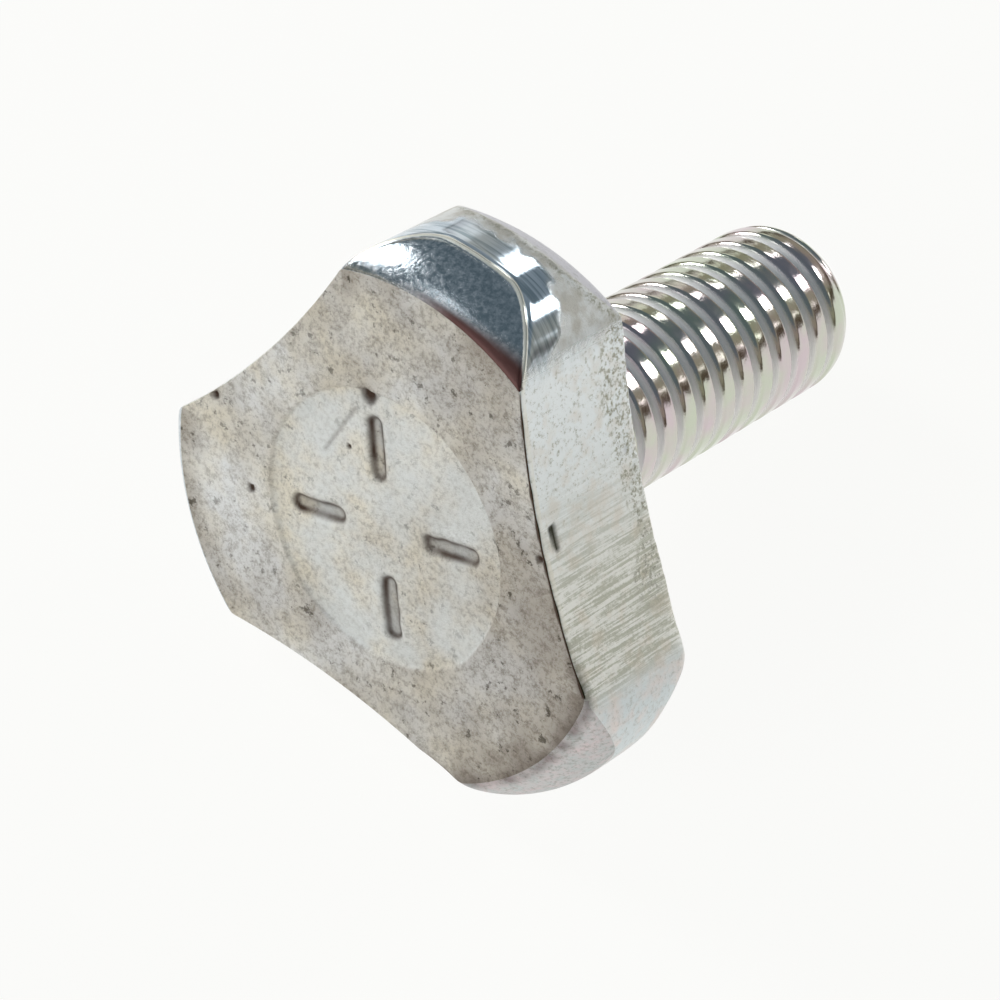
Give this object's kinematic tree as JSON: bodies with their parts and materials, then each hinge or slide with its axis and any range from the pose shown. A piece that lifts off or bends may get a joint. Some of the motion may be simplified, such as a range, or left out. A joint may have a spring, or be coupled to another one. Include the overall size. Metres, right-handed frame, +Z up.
{
  "type": "blade fixing screw",
  "caption": "Short screw with a thick three-lobed head, scooped between the lobes for gripping, and a threaded shank that holds a blade in place.",
  "frame": {"origin": "centre of the bounding box, on the table the screw lies on", "axes": "+Z up; the screw lies at rest on two lobes and the end of its shank; +X runs along the shank from the head towards the end; one lobe points up"},
  "size_m": [0.0222, 0.0178, 0.0164],
  "materials": {
    "zinc_plated_steel": "zinc plated, satin"
  },
  "bodies": {
    "root": {"screw": "zinc_plated_steel"}
  },
  "joints": []
}
